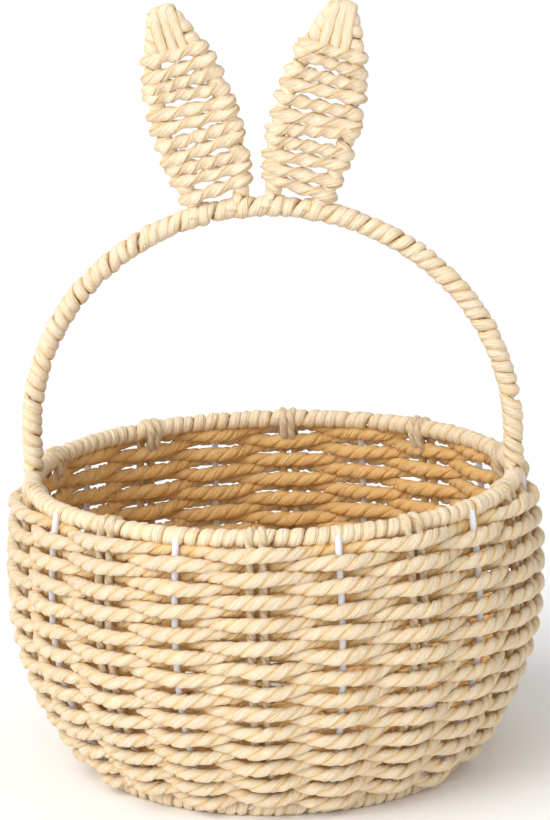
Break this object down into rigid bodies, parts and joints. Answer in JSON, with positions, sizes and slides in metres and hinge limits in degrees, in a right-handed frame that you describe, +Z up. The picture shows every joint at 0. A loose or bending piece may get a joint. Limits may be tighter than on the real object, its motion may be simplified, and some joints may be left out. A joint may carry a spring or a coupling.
{
  "type": "easter basket",
  "caption": "Round bellied basket of pale twisted paper rope woven on a white wire frame, with a fixed hoop handle and two laced bunny ears on top.",
  "frame": {"origin": "on the floor under the middle of the bowl, at the bottom centre of the bounding box", "axes": "+Z up; X along the handle from its left foot to its right foot; -Y is the front"},
  "size_m": [0.2404, 0.2416, 0.3428],
  "materials": {
    "frame_wire": "white powder coat, semi-gloss",
    "weave_rope": "matte two-ply twisted paper rope",
    "stake_rope": "matte two-ply twisted paper rope",
    "wrap_rope": "matte twisted paper rope, wound close"
  },
  "bodies": {
    "root": {"rim_ring": "frame_wire", "base_ring": "frame_wire", "hub_ring": "frame_wire", "rib_01": "frame_wire", "rib_02": "frame_wire", "rib_03": "frame_wire", "rib_04": "frame_wire", "rib_05": "frame_wire", "rib_06": "frame_wire", "rib_07": "frame_wire", "rib_08": "frame_wire", "rib_09": "frame_wire", "rib_10": "frame_wire", "handle_hoop": "frame_wire", "ear_hoop_left": "frame_wire", "ear_hoop_right": "frame_wire", "weave_row_01": "weave_rope", "weave_row_02": "weave_rope", "weave_row_03": "weave_rope", "weave_row_04": "weave_rope", "weave_row_05": "weave_rope", "weave_row_06": "weave_rope", "weave_row_07": "weave_rope", "weave_row_08": "weave_rope", "weave_row_09": "weave_rope", "weave_row_10": "weave_rope", "weave_row_11": "weave_rope", "weave_row_12": "weave_rope", "weave_row_13": "weave_rope", "weave_row_14": "weave_rope", "weave_row_15": "weave_rope", "weave_row_16": "weave_rope", "weave_row_17": "weave_rope", "weave_row_18": "weave_rope", "weave_row_19": "weave_rope", "weave_row_20": "weave_rope", "weave_row_21": "weave_rope", "weave_row_22": "weave_rope", "weave_row_23": "weave_rope", "weave_row_24": "weave_rope", "weave_row_25": "weave_rope", "weave_row_26": "weave_rope", "base_weave": "weave_rope", "stake_01": "stake_rope", "stake_02": "stake_rope", "stake_03": "stake_rope", "stake_04": "stake_rope", "stake_05": "stake_rope", "stake_06": "stake_rope", "stake_07": "stake_rope", "stake_08": "stake_rope", "stake_09": "stake_rope", "stake_10": "stake_rope", "rim_wrap": "wrap_rope", "base_wrap": "wrap_rope", "handle_wrap": "wrap_rope", "ear_wrap_left": "wrap_rope", "ear_wrap_right": "wrap_rope", "ear_lacing_left": "wrap_rope", "ear_lacing_right": "wrap_rope"}
  },
  "joints": []
}
